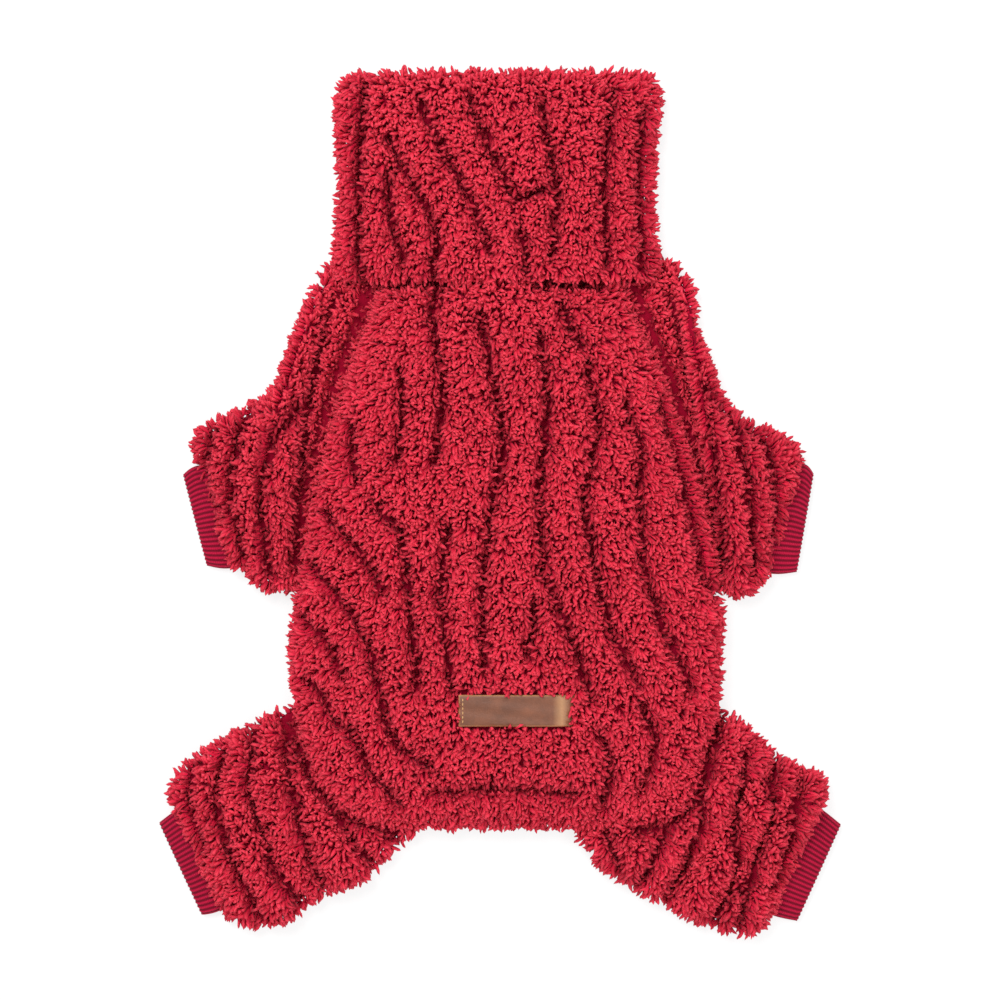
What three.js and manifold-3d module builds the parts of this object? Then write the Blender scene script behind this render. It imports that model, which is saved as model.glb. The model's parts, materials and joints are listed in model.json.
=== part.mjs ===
// Dog pajamas in cut-channel plush, laid flat on the belly with the back up.
//
// Millimetres, +Z up, +Y towards the collar, +X to the right. The suit rests on
// z = 0, and the origin is at the bottom centre of the whole suit.
//
// Each tube of the garment (body, collar, sleeve, leg, cuff, hem) is a row of flattened
// rings. A ring spans from edge point A to edge point B in plan, lies flat on z = 0,
// turns over a rounded fold at both edges and holds a thin slit of air between its
// lower and upper cloth. The plush is a thick cloth: knitted backing plus its pile.
import * as THREE from "three";
import Module from "manifold-3d";

const wasm = await Module();
wasm.setup();

// ---- driving dimensions ----------------------------------------------------------

const SEAM_GAP = 0.3;
const LAYER_GAP = 2.8;        // air between the lower and the upper cloth
const UNDER_SHARE = 0.42;     // the lower cloth's share of the cloth in a ring
const BELLY_CUT_HEIGHT = 10.1; // a level in the body's slit of air, at every ring
const CURTAIN_INSET = 3;      // how far a limb's upper cloth laps over the body's edge
const OVERRUN = 4;            // how far a cutter passes the end of what it cuts
const CUT_CEILING = 60;       // above the highest cloth
const LEAST_SLANT = 0.35;     // sine of the sharpest slant that a grown edge allows for

// Plush: rounded side folds. Rib: the thin double knit of the cuffs.
const PLUSH = { sideRound: 11, edgeWall: 9, crown: 3, topSteps: 12, sideSteps: 4, underSteps: 4 };
const LIMB = { sideRound: 10, edgeWall: 8, crown: 2, topSteps: 10, sideSteps: 4, underSteps: 3 };
const HEM = { sideRound: 6, edgeWall: 5, crown: 1, topSteps: 8, sideSteps: 4, underSteps: 2 };
const RIB = { sideRound: 3.6, edgeWall: 2.5, crown: 0.4, topSteps: 6, sideSteps: 4, underSteps: 2 };

// Level rings: one row each, from the collar end to the rear.
const LEVEL_COLUMNS = ["y", "left", "right", "height"];

const COLLAR_RINGS = table(LEVEL_COLUMNS, [
  [127.0, -90.5, 87.0, 21],
  [138.0, -91.0, 87.0, 25],
  [160.0, -89.0, 84.0, 26],
  [182.0, -88.5, 84.5, 25],
  [204.0, -89.5, 86.5, 26],
  [219.0, -89.6, 88.0, 25],
  [228.0, -86.5, 86.0, 21],
  [234.4, -79.0, 80.0, 12],
]);

const BODY_RINGS = table(LEVEL_COLUMNS, [
  [126.7, -64.0, 66.0, 21],
  [114.0, -66.5, 69.5, 24],
  [100.0, -70.5, 74.0, 25],
  [86.0, -77.0, 81.0, 26],
  [68.0, -83.0, 89.5, 26],
  [48.0, -90.0, 96.0, 26],
  [28.0, -95.0, 104.0, 26],
  [8.0, -100.5, 110.5, 26],
  [-12.0, -104.5, 114.2, 26],
  [-34.0, -108.0, 118.6, 26],
  [-56.0, -112.5, 121.5, 26],
  [-78.0, -114.5, 120.6, 26],
  [-98.0, -113.0, 119.6, 25],
  [-116.0, -109.6, 117.5, 25],
  [-132.0, -105.0, 111.7, 26],
  [-146.0, -98.0, 107.5, 26],
  [-157.0, -89.0, 101.5, 24],
  [-165.0, -79.0, 92.0, 21],
  [-171.0, -66.0, 80.0, 17],
]);

const HEM_RINGS = table(LEVEL_COLUMNS, [
  [-153.0, -38.0, 41.0, 19],
  [-158.0, -38.0, 41.0, 22],
  [-165.0, -38.0, 41.0, 21],
  [-171.0, -37.0, 40.0, 14],
]);

// The belly panel's two seams, on the lower cloth of the body.
const BELLY_SEAMS = table(["y", "left", "right"], [
  [130.0, -50.0, 52.0],
  [60.0, -66.0, 72.0],
  [0.0, -78.0, 88.0],
  [-60.0, -84.0, 92.0],
  [-110.0, -74.0, 84.0],
  [-153.0, -38.0, 41.0],
]);

// Slanted rings: one row each, from the root under the body's edge to the cuff.
// A is the edge towards the collar and the outside, B the edge towards the rear.
const SLANTED_COLUMNS = ["ax", "ay", "bx", "by", "height"];

const SLEEVE_LEFT_RINGS = table(SLANTED_COLUMNS, [
  [-54.0, 126.0, -92.0, -42.0, 24],
  [-86.0, 126.0, -108.0, -47.0, 24],
  [-97.0, 117.0, -117.0, -47.5, 23],
  [-108.0, 92.0, -125.0, -46.5, 20],
  [-117.0, 68.0, -131.0, -44.0, 24],
  [-129.0, 59.0, -134.5, -38.0, 20],
  [-144.0, 52.0, -137.5, -36.0, 24],
  [-159.0, 45.4, -140.5, -35.3, 22],
  [-167.0, 38.0, -142.0, -35.0, 18],
  [-168.0, 27.0, -143.5, -34.8, 12],
]);

const SLEEVE_RIGHT_RINGS = table(SLANTED_COLUMNS, [
  [54.0, 126.0, 100.0, -42.0, 24],
  [88.0, 126.0, 117.0, -47.0, 24],
  [99.5, 119.0, 123.0, -49.0, 23],
  [102.5, 97.0, 128.0, -50.0, 20],
  [110.0, 78.0, 133.0, -50.0, 24],
  [118.0, 60.0, 137.0, -47.0, 20],
  [131.0, 49.0, 140.0, -43.0, 24],
  [147.0, 42.0, 142.5, -39.5, 22],
  [159.0, 35.0, 144.0, -37.5, 18],
  [166.0, 26.0, 145.0, -36.5, 12],
]);

const LEG_LEFT_RINGS = table(SLANTED_COLUMNS, [
  [-90.0, -112.0, -46.0, -154.0, 23],
  [-113.0, -107.5, -40.0, -174.0, 23],
  [-128.5, -113.4, -55.6, -187.0, 22],
  [-137.0, -118.0, -64.5, -196.0, 18],
  [-146.0, -123.0, -74.5, -204.0, 24],
  [-162.0, -132.0, -94.5, -212.0, 19],
  [-170.0, -138.0, -106.0, -220.0, 24],
  [-175.5, -144.0, -118.0, -227.0, 23],
  [-178.7, -153.0, -136.0, -229.5, 19],
  [-176.0, -165.0, -152.0, -222.5, 12],
]);

const LEG_RIGHT_RINGS = table(SLANTED_COLUMNS, [
  [95.0, -112.0, 46.0, -154.0, 23],
  [120.0, -109.0, 38.0, -175.0, 23],
  [126.5, -113.0, 46.0, -186.0, 18],
  [133.0, -118.0, 55.0, -197.0, 24],
  [144.5, -128.5, 75.5, -210.0, 24],
  [150.0, -133.0, 86.0, -216.0, 17],
  [158.5, -138.0, 98.0, -222.0, 24],
  [165.0, -141.0, 107.0, -227.0, 18],
  [172.0, -143.5, 118.0, -230.5, 24],
  [177.0, -150.0, 134.0, -234.4, 20],
  [172.5, -162.0, 147.0, -224.5, 12],
]);

// Cuffs: a hidden start inside the limb, then the knit that shows.
const CUFF_RINGS = {
  cuff_front_left: table(SLANTED_COLUMNS, [
    [-156.0, 24.0, -134.0, -33.0, 8],
    [-166.8, 22.0, -150.0, -34.6, 8],
    [-173.2, 17.5, -160.0, -33.0, 8],
  ]),
  cuff_front_right: table(SLANTED_COLUMNS, [
    [154.0, 23.0, 135.0, -35.0, 8],
    [166.0, 23.5, 150.0, -37.6, 8],
    [171.4, 18.0, 162.0, -36.5, 8],
  ]),
  cuff_hind_left: table(SLANTED_COLUMNS, [
    [-168.0, -161.0, -144.0, -217.0, 8],
    [-177.5, -166.0, -154.0, -222.0, 8],
    [-186.3, -172.5, -162.5, -223.8, 8],
  ]),
  cuff_hind_right: table(SLANTED_COLUMNS, [
    [163.0, -159.0, 139.0, -219.0, 8],
    [174.0, -164.0, 149.0, -224.0, 8],
    [186.3, -173.5, 162.0, -227.0, 8],
  ]),
};

// The leather patch, low on the back.
const LABEL = { left: -22.2, right: 41.2, front: -101.4, rear: -118.4, thickness: 1.6 };

const FINISHES = {
  plush: { color: 0xb9293a, roughness: 0.95, metalness: 0 },
  rib: { color: 0x9a1433, roughness: 0.9, metalness: 0 },
  leather: { color: 0x96603a, roughness: 0.6, metalness: 0 },
};

// ---- tables and rings ------------------------------------------------------------

function table(columns, rows) {
  return rows.map((row) => Object.fromEntries(columns.map((name, i) => [name, row[i]])));
}

// A level ring as a slanted one, so that one function lofts both.
function slanted(rings) {
  return rings.map(({ y, left, right, height }) => (
    { ax: left, ay: y, bx: right, by: y, height }
  ));
}

// Points (across, up) round a ring of half-width `half`: over the top, down one rounded
// side, back along the underside and up the other side.
function ringProfile(half, top, bottom, side, crown, shape) {
  const points = [];
  const flat = half - side;
  const shoulder = top - crown;
  const middle = (shoulder + bottom) / 2;
  const reach = (shoulder - bottom) / 2;
  for (let i = 0; i <= shape.topSteps; i += 1) {
    const s = 2 * i / shape.topSteps - 1;
    points.push([s * flat, shoulder + crown * (1 - s * s)]);
  }
  for (let i = 1; i < shape.sideSteps; i += 1) {
    const turn = Math.PI * i / shape.sideSteps;
    points.push([flat + side * Math.sin(turn), middle + reach * Math.cos(turn)]);
  }
  for (let i = 0; i <= shape.underSteps; i += 1) {
    points.push([flat * (1 - 2 * i / shape.underSteps), bottom]);
  }
  for (let i = 1; i < shape.sideSteps; i += 1) {
    const turn = Math.PI * i / shape.sideSteps;
    points.push([-flat - side * Math.sin(turn), middle - reach * Math.cos(turn)]);
  }
  return points;
}

// The ring's outside, from its underside to its height.
function outsideProfile(ring, shape) {
  const half = Math.hypot(ring.bx - ring.ax, ring.by - ring.ay) / 2;
  return ringProfile(half, ring.height, ring.bottom ?? 0, shape.sideRound, shape.crown, shape);
}

// The ring's slit of air.
function insideProfile(ring, shape) {
  const half = Math.hypot(ring.bx - ring.ax, ring.by - ring.ay) / 2 - shape.edgeWall;
  const bottom = (ring.height - LAYER_GAP) * UNDER_SHARE;
  return ringProfile(half, bottom + LAYER_GAP, bottom, LAYER_GAP / 2, 0, shape);
}

function placeRing(ring, profile) {
  const across = acrossRing(ring);
  const middleX = (ring.ax + ring.bx) / 2;
  const middleY = (ring.ay + ring.by) / 2;
  return profile.map(([u, z]) => (
    new THREE.Vector3(middleX + across.x * u, middleY + across.y * u, z)
  ));
}

function acrossRing(ring) {
  return new THREE.Vector2(ring.bx - ring.ax, ring.by - ring.ay).normalize();
}

// The rings with the tube's two ends run on by `distance`.
function runOn(rings, distance) {
  const last = rings.length - 1;
  return rings.map((ring, i) => {
    if (i !== 0 && i !== last) {
      return ring;
    }
    const neighbour = rings[i === 0 ? 1 : last - 1];
    const across = acrossRing(ring);
    const along = new THREE.Vector2(-across.y, across.x);
    const away = new THREE.Vector2(ring.ax - neighbour.ax, ring.ay - neighbour.ay);
    along.multiplyScalar(Math.sign(along.dot(away)) * distance);
    return {
      ...ring,
      ax: ring.ax + along.x,
      ay: ring.ay + along.y,
      bx: ring.bx + along.x,
      by: ring.by + along.y,
    };
  });
}

// The rings `gap` larger all round. An edge that runs slanted to its ring moves further
// along the ring, so that it still moves by `gap` square to itself.
function grown(rings, gap) {
  const wider = rings.map((ring, i) => {
    const before = rings[Math.max(i - 1, 0)];
    const after = rings[Math.min(i + 1, rings.length - 1)];
    const across = acrossRing(ring);
    const edgeA = new THREE.Vector2(after.ax - before.ax, after.ay - before.ay).normalize();
    const edgeB = new THREE.Vector2(after.bx - before.bx, after.by - before.by).normalize();
    const moveA = gap / Math.max(Math.abs(across.cross(edgeA)), LEAST_SLANT);
    const moveB = gap / Math.max(Math.abs(across.cross(edgeB)), LEAST_SLANT);
    return {
      ax: ring.ax - across.x * moveA,
      ay: ring.ay - across.y * moveA,
      bx: ring.bx + across.x * moveB,
      by: ring.by + across.y * moveB,
      height: ring.height + gap,
      bottom: -gap,
    };
  });
  return runOn(wider, gap);
}

// ---- solids ----------------------------------------------------------------------

// A closed solid through loops of the same number of points, its two ends capped.
function loft(loops) {
  const count = loops[0].length;
  const points = loops.flat();
  const triangles = [];
  for (let i = 0; i + 1 < loops.length; i += 1) {
    for (let j = 0; j < count; j += 1) {
      const a = i * count + j;
      const b = i * count + (j + 1) % count;
      triangles.push([a, b, b + count], [a, b + count, a + count]);
    }
  }
  for (const [index, turn] of [[0, 1], [loops.length - 1, -1]]) {
    const hub = points.length;
    const centre = new THREE.Vector3();
    loops[index].forEach((point) => centre.addScaledVector(point, 1 / count));
    points.push(centre);
    for (let j = 0; j < count; j += 1) {
      const a = index * count + j;
      const b = index * count + (j + 1) % count;
      triangles.push(turn > 0 ? [hub, b, a] : [hub, a, b]);
    }
  }
  return solidFrom(points, triangles);
}

function solidFrom(points, triangles) {
  let volume = 0;
  for (const [a, b, c] of triangles) {
    volume += points[a].dot(new THREE.Vector3().crossVectors(points[b], points[c]));
  }
  const faces = volume > 0 ? triangles : triangles.map(([a, b, c]) => [a, c, b]);
  return new wasm.Manifold(new wasm.Mesh({
    numProp: 3,
    vertProperties: Float32Array.from(points.flatMap((point) => point.toArray())),
    triVerts: Uint32Array.from(faces.flat()),
  }));
}

function outside(rings, shape) {
  return loft(rings.map((ring) => placeRing(ring, outsideProfile(ring, shape))));
}

function hollow(rings, shape) {
  return loft(rings.map((ring) => placeRing(ring, insideProfile(ring, shape))));
}

function openTube(rings, shape) {
  return outside(rings, shape).subtract(hollow(runOn(rings, OVERRUN), shape));
}

// A level slab whose left and right sides follow the rows.
function slab(rows, low, high) {
  return loft(rows.map(({ y, left, right }) => [
    new THREE.Vector3(left, y, low),
    new THREE.Vector3(right, y, low),
    new THREE.Vector3(right, y, high),
    new THREE.Vector3(left, y, high),
  ]));
}

// Everything above and below the plan of a tube, `inset` inside its edges.
function curtain(rings, inset = 0) {
  return loft(rings.map((ring) => {
    const half = Math.hypot(ring.bx - ring.ax, ring.by - ring.ay) / 2 - inset;
    return placeRing(ring, [
      [-half, -OVERRUN],
      [half, -OVERRUN],
      [half, CUT_CEILING],
      [-half, CUT_CEILING],
    ]);
  }));
}

function block(box, low, high) {
  const { left, right, front, rear } = box;
  return slab([{ y: front, left, right }, { y: rear, left, right }], low, high);
}

function cutAll(solid, cutters) {
  return cutters.reduce((rest, cutter) => rest.subtract(cutter), solid);
}

// ---- the suit --------------------------------------------------------------------

const bodyRings = slanted(BODY_RINGS);
const LIMB_RINGS = {
  sleeve_left: SLEEVE_LEFT_RINGS,
  sleeve_right: SLEEVE_RIGHT_RINGS,
  leg_left: LEG_LEFT_RINGS,
  leg_right: LEG_RIGHT_RINGS,
};
const CUFF_ON = {
  cuff_front_left: "sleeve_left",
  cuff_front_right: "sleeve_right",
  cuff_hind_left: "leg_left",
  cuff_hind_right: "leg_right",
};

function collar() {
  return openTube(slanted(COLLAR_RINGS), PLUSH);
}

// The body's tube, open at the neck, the rear, both armholes and both leg holes, with
// room for the hem between the legs.
function bodyTube() {
  const hemRoom = {
    left: HEM_RINGS[0].left - SEAM_GAP,
    right: HEM_RINGS[0].right + SEAM_GAP,
    front: HEM_RINGS[0].y + SEAM_GAP,
    rear: HEM_RINGS.at(-1).y - OVERRUN,
  };
  const limbHoles = Object.values(LIMB_RINGS).map((rings) => hollow(rings, LIMB));
  return cutAll(openTube(bodyRings, PLUSH), [
    block(hemRoom, -OVERRUN, CUT_CEILING),
    ...limbHoles,
  ]);
}

function backPanel() {
  return bodyTube().subtract(slab(BELLY_SEAMS, -OVERRUN, BELLY_CUT_HEIGHT));
}

function bellyPanel() {
  const rows = BELLY_SEAMS.map(({ y, left, right }) => (
    { y, left: left + SEAM_GAP, right: right - SEAM_GAP }
  ));
  return bodyTube().intersect(slab(rows, -OVERRUN, BELLY_CUT_HEIGHT));
}

function rearHem() {
  return openTube(slanted(HEM_RINGS), HEM);
}

function limb(name) {
  return cutAll(openTube(LIMB_RINGS[name], LIMB), [
    outside(grown(bodyRings, SEAM_GAP), PLUSH),
    curtain(bodyRings, CURTAIN_INSET),
  ]);
}

function cuff(name) {
  const limbRings = LIMB_RINGS[CUFF_ON[name]];
  return openTube(CUFF_RINGS[name], RIB).subtract(curtain(grown(limbRings, SEAM_GAP)));
}

// The patch is the back panel's own surface, moved out and cut to the patch's outline.
function label() {
  const skin = outside(grown(bodyRings, SEAM_GAP + LABEL.thickness), PLUSH)
    .subtract(outside(grown(bodyRings, SEAM_GAP), PLUSH));
  return skin.intersect(block(LABEL, BELLY_CUT_HEIGHT, CUT_CEILING));
}

// ---- the scene graph -------------------------------------------------------------

function namedMesh(name, solid, finish) {
  const { vertProperties, triVerts } = solid.getMesh();
  const geometry = new THREE.BufferGeometry();
  geometry.setAttribute("position", new THREE.BufferAttribute(vertProperties, 3));
  geometry.setIndex(new THREE.BufferAttribute(triVerts, 1));
  geometry.computeVertexNormals();
  const mesh = new THREE.Mesh(geometry, new THREE.MeshStandardMaterial(FINISHES[finish]));
  mesh.name = name;
  return mesh;
}

const body = new THREE.Group();
body.add(
  namedMesh("collar", collar(), "plush"),
  namedMesh("back_panel", backPanel(), "plush"),
  namedMesh("belly_panel", bellyPanel(), "plush"),
  namedMesh("rear_hem", rearHem(), "plush"),
  namedMesh("label", label(), "leather"),
);

const limbs = new THREE.Group();
for (const name of Object.keys(LIMB_RINGS)) {
  limbs.add(namedMesh(name, limb(name), "plush"));
}
for (const name of Object.keys(CUFF_RINGS)) {
  limbs.add(namedMesh(name, cuff(name), "rib"));
}

const group = new THREE.Group();
group.add(body, limbs);

export default group;
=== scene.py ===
"""Dog pajamas in cut-channel plush, laid flat: the looks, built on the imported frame."""
import json
import math

import bpy
import numpy as np
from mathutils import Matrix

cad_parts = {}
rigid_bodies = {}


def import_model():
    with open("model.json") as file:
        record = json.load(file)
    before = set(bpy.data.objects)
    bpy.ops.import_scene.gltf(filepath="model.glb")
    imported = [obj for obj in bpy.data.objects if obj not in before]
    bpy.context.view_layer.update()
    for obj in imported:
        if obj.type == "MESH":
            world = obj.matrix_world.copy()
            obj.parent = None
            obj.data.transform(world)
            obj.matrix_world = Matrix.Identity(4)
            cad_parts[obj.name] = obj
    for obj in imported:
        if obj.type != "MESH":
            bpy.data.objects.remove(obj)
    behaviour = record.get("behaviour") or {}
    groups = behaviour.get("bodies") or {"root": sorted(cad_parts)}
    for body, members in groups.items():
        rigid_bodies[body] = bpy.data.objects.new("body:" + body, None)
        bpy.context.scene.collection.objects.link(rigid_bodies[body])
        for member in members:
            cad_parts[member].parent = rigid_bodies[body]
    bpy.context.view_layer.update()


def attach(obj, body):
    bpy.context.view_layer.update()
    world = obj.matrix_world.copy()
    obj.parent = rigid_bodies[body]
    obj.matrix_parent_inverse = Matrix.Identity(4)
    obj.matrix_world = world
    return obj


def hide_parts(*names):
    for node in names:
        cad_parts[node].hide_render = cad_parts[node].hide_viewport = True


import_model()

bl_info = {
    "name": "Plush Dog Pajamas",
    "version": (1, 0, 0),
    "blender": (4, 5, 0),
    "location": "3D View > Sidebar > Pajamas",
    "description": "Builds a small dog's plush pajamas, laid flat with the back up",
    "category": "Add Mesh",
}

MM = 0.001

# ---- the garment's tables, in millimetres ------------------------------------------


def level(rows):
    """Level rows as slanted ones, so that one function lofts both."""
    return [(left, y, right, y, height) for y, left, right, height in rows]


# Rings of each tube, one row each from its root to its opening. A slanted row gives x and y
# of the edge towards the collar, x and y of the edge towards the rear, and the height. On
# the body, collar and hem a row is level: y, left x, right x and height.
RINGS = {
    "collar": level([
        (124, -88, 85, 24),
        (132, -91, 87, 27),
        (160, -89, 84.5, 27),
        (182, -88.5, 84.5, 27),
        (204, -89.5, 86.5, 27),
        (219, -89.6, 88, 26),
        (228, -88, 87.5, 22),
        (233.6, -84, 84, 13),
    ]),
    "body": level([
        (134, -62, 62, 12),
        (125, -65, 65, 15),
        (115, -66.5, 69.5, 23),
        (100, -70.5, 74, 27),
        (86, -77, 81, 27),
        (68, -83, 89.5, 27),
        (48, -90, 96, 27),
        (28, -95, 104, 27),
        (8, -100.5, 110.5, 27),
        (-12, -104.5, 114.2, 27),
        (-34, -108, 118.6, 27),
        (-56, -112.5, 121.5, 27),
        (-78, -114.5, 120.6, 27),
        (-98, -113, 119.6, 27),
        (-116, -109.6, 117.5, 27),
        (-132, -105, 111.7, 27),
        (-146, -98, 107.5, 27),
        (-157, -90, 102, 25),
        (-165, -81, 94, 22),
        (-171, -69, 82, 16),
    ]),
    "rear_hem": level([
        (-150, -42, 44, 17),
        (-155, -43, 45, 20),
        (-164, -43, 45, 21),
        (-171, -40, 43, 14),
    ]),
    "sleeve_left": [
        (-48, 136, -86, -44, 11),
        (-86, 136, -107, -47, 12),
        (-97, 122, -117, -47.5, 17),
        (-108, 94, -125, -46.5, 23),
        (-117, 69, -131, -44, 25),
        (-129, 59, -134.5, -38, 23),
        (-144, 52, -137.5, -36, 25),
        (-159, 45.4, -140.5, -35.3, 23),
        (-164, 40, -140.5, -35, 19),
        (-164.5, 29, -141, -34.2, 12),
    ],
    "sleeve_right": [
        (48, 136, 94, -44, 11),
        (88, 136, 116, -47, 12),
        (99.5, 124, 123, -49, 17),
        (102.5, 99, 128, -50, 23),
        (110, 78, 133, -50, 25),
        (118, 60, 137, -47, 23),
        (131, 49, 140, -43, 25),
        (147, 42, 142.5, -39.5, 23),
        (158, 36, 143, -38, 19),
        (162.5, 27, 142.5, -36, 12),
    ],
    "leg_left": [
        (-100, -110, -44, -162, 13),
        (-113, -107.5, -40, -174, 13),
        (-128.5, -113.4, -55.6, -187, 19),
        (-137, -118, -64.5, -196, 20),
        (-146, -123, -74.5, -204, 25),
        (-162, -132, -94.5, -212, 21),
        (-170, -138, -106, -220, 25),
        (-175.5, -144, -118, -227, 24),
        (-177.5, -152, -135, -228.5, 20),
        (-173, -163, -148.5, -221, 12),
    ],
    "leg_right": [
        (106, -110, 44, -162, 13),
        (120, -109, 38, -175, 13),
        (126.5, -113, 46, -186, 17),
        (133, -118, 55, -197, 25),
        (144.5, -128.5, 75.5, -210, 25),
        (150, -133, 86, -216, 18),
        (158.5, -138, 98, -222, 25),
        (165, -141, 107, -227, 19),
        (172, -143.5, 118, -230.5, 25),
        (175.5, -149.5, 133, -233, 21),
        (169.5, -160.5, 144, -223, 12),
    ],
    "cuff_front_left": [
        (-154, 24, -134, -33, 8),
        (-166.8, 22, -150, -34.6, 8),
        (-173.2, 17.5, -160, -33, 7.6),
    ],
    "cuff_front_right": [
        (152, 23, 135, -35, 8),
        (166, 23.5, 150, -37.6, 8),
        (171.4, 18, 162, -36.5, 7.6),
    ],
    "cuff_hind_left": [
        (-166, -160, -142, -216, 8),
        (-177.5, -166, -154, -222, 8),
        (-186.3, -172.5, -162.5, -223.8, 7.6),
    ],
    "cuff_hind_right": [
        (161, -158, 137, -218, 8),
        (174, -164, 149, -224, 8),
        (186.3, -173.5, 162, -227, 7.6),
    ],
}

# The channels cut into the plush: the points that each passes through, in plan.
# Along every line the pile's colour is also darkened as painted shade; the first line of each
# sleeve and leg follows the body's edge, where the body overlaps it.
CHANNELS = {
    "collar": [
        [(-72, 226), (-75, 194), (-75, 120)],
        [(-60, 199), (-44, 172), (-33, 150), (-36, 126)],
        [(-60, 181), (-58, 154), (-51, 132)],
        [(-43, 220), (-28, 187), (-18, 172), (-5, 138)],
        [(-17, 220), (-5, 194), (8, 166), (29, 174)],
        [(22, 218), (31, 172), (28, 136)],
        [(60, 224), (55, 172), (57, 132)],
        [(11, 152), (15, 128)],
        [(76, 214), (73, 176), (76, 130)],
    ],
    "body": [
        [(-53, 75), (-51, 57), (-55, 25)],
        [(-34, 120), (-36, 104), (-30, 63), (-35, 24)],
        [(-11, 105), (-4, 73), (2, 39), (-1, 14)],
        [(-79, 44), (-77, 14)],
        [(-93, -3), (-73, -26), (-62, -45)],
        [(-100, -31), (-82, -53), (-70, -74), (-63, -102), (-60, -121), (-50, -132), (-36, -141)],
        [(-105, -60), (-93, -70), (-83, -91)],
        [(-102, -93), (-93, -104), (-86, -118)],
        [(-67, 3), (-52, -15), (-48, -55), (-44, -97)],
        [(-28, -8), (-32, -44), (-29, -72), (-25, -98)],
        [(-3, 10), (-9, -42), (-9, -87)],
        [(21, 95), (26, 57), (21, 10), (23, -34), (37, -66), (49, -102)],
        [(19, -51), (15, -79)],
        [(46, 79), (53, 46), (45, 5), (52, -39), (62, -72), (74, -95)],
        [(65, 57), (76, 30), (74, 10), (77, -34), (87, -64), (103, -99)],
        [(84, 57), (93, 30), (104, -16), (108, -36), (116, -48)],
        [(32, 111), (43, 87)],
        [(76, -105), (84, -126), (76, -153)],
        [(54, -121), (60, -143), (54, -161)],
        [(-81, -118), (-69, -143), (-54, -159)],
        [(-37, -153), (-10, -151), (20, -152), (41, -153)],
        [(-52, 119), (-40, 121), (-28, 119)],
        [(18, 120), (34, 121), (52, 119)],
    ],
    "rear_hem": [
        [(-24, -150), (-26, -170)],
        [(-6, -150), (-7, -170)],
        [(9, -150), (12, -170)],
        [(27, -150), (28, -170)],
    ],
    "sleeve_left": [
        [(-70, 128), (-72, 112), (-84, 80), (-97, 46), (-103, 22), (-108, 4), (-112, -30)],
        [(-92, 111), (-102, 73), (-108, 36), (-112, -29)],
        [(-108, 57), (-123, 36), (-129, 3), (-125, -35)],
        [(-135, 51), (-143, 30), (-145, 3), (-138, -26)],
        [(-154, 40), (-158, 19), (-150, -8)],
    ],
    "sleeve_right": [
        [(68, 128), (75, 112), (88, 80), (101, 46), (109, 22), (117, 0), (121, -34)],
        [(93, 111), (103, 73), (114, 36), (123, -29)],
        [(111, 63), (127, 41), (135, 9), (136, -35)],
        [(132, 44), (145, 28), (148, -2), (145, -29)],
    ],
    "leg_left": [
        [(-118, -104), (-110, -128), (-103, -146), (-93, -160), (-82, -169), (-58, -176)],
        [(-116, -118), (-113, -153), (-97, -202)],
        [(-132, -124), (-135, -153), (-122, -197), (-108, -215)],
        [(-148, -134), (-154, -159), (-143, -191), (-129, -221)],
        [(-165, -140), (-167, -159), (-158, -186)],
        [(-92, -159), (-81, -180), (-69, -194)],
        [(-62, -178), (-51, -183)],
    ],
    "leg_right": [
        [(122, -106), (116, -130), (110, -150), (104, -160), (94, -169), (74, -176)],
        [(116, -124), (108, -148), (108, -170), (91, -210)],
        [(132, -134), (127, -164), (127, -202), (116, -226)],
        [(148, -140), (146, -170), (135, -202), (127, -229)],
        [(89, -175), (76, -202)],
        [(162, -151), (157, -175), (147, -205)],
        [(59, -178), (66, -197)],
    ],
}

# The seams between the back and the belly, under the body: y, left x, right x.
BELLY_SEAMS = [
    (131, -50, 52),
    (60, -66, 72),
    (0, -78, 88),
    (-60, -84, 92),
    (-110, -74, 84),
    (-172, -38, 41),
]

# The cut of each sheet laid flat, in metres: round the tube by along it.
# The plush tubes besides the body, each with the kind of its cut.
PLUSH_TUBES = {
    "collar": "collar",
    "rear_hem": "rear_hem",
    "sleeve_left": "sleeve",
    "sleeve_right": "sleeve",
    "leg_left": "leg",
    "leg_right": "leg",
}
CUFFS = ("cuff_front_left", "cuff_front_right", "cuff_hind_left", "cuff_hind_right")

NAP_DEPTH = 5.0       # how far the pile stands out of its bed
REST_DEPTH = 3.0      # the same under the suit, where its own weight presses it
BED_STEP = 1.8        # the grid of the bed that the pile is planted on
CLOTH_STEP = 3.6      # the grid of the backing
BACKING_DROP = 0.9    # how far the backing lies under the bed
CLOTH_THICKNESS = 1.4
LEAST_FILL = 2.5      # least height of a tube inside its pile
SIDE_ROUND = 8.0      # the turn at a tube's sides
BODY_CROWN = 3.0      # how much higher the middle lies than the sides
LIMB_CROWN = 1.5
RIPPLE_HEIGHT = 0.7
RIPPLE_LENGTH = 16
RIDGE_RISE = 1.6      # how far the pile swells between two channels
RIDGE_REACH = 12      # how far from a channel the swelling is full
CHANNEL_HALF_WIDTH = 3.3
CHANNEL_DEPTH = 7.0
CHANNEL_NAP = 0.5     # how much of its length a lock loses in a channel
PARTING_HALF_WIDTH = 1.7
PARTING_SHARE = 0.85  # how many of the locks are missing along the bottom of a channel
UNDERSIDE = -0.35     # a point belongs to the underside where its normal points lower
UNDER_NAP = 0.75
UNDER_COVER = 0.34
FRONT_ZONE_END = -10  # where the back's pile is split in two pieces

CUFF_STEP = 1.3       # the grid along a cuff
POINTS_PER_RIB = 6
CUFF_INSET = 0.4
CUFF_ROUND = 3.2
CUFF_CROWN = 0.5
CUFF_WALL = 1.5
RIM_RINGS = 3         # rings over which a cuff's edge thins out
RIM_THINNING = 0.16

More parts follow.
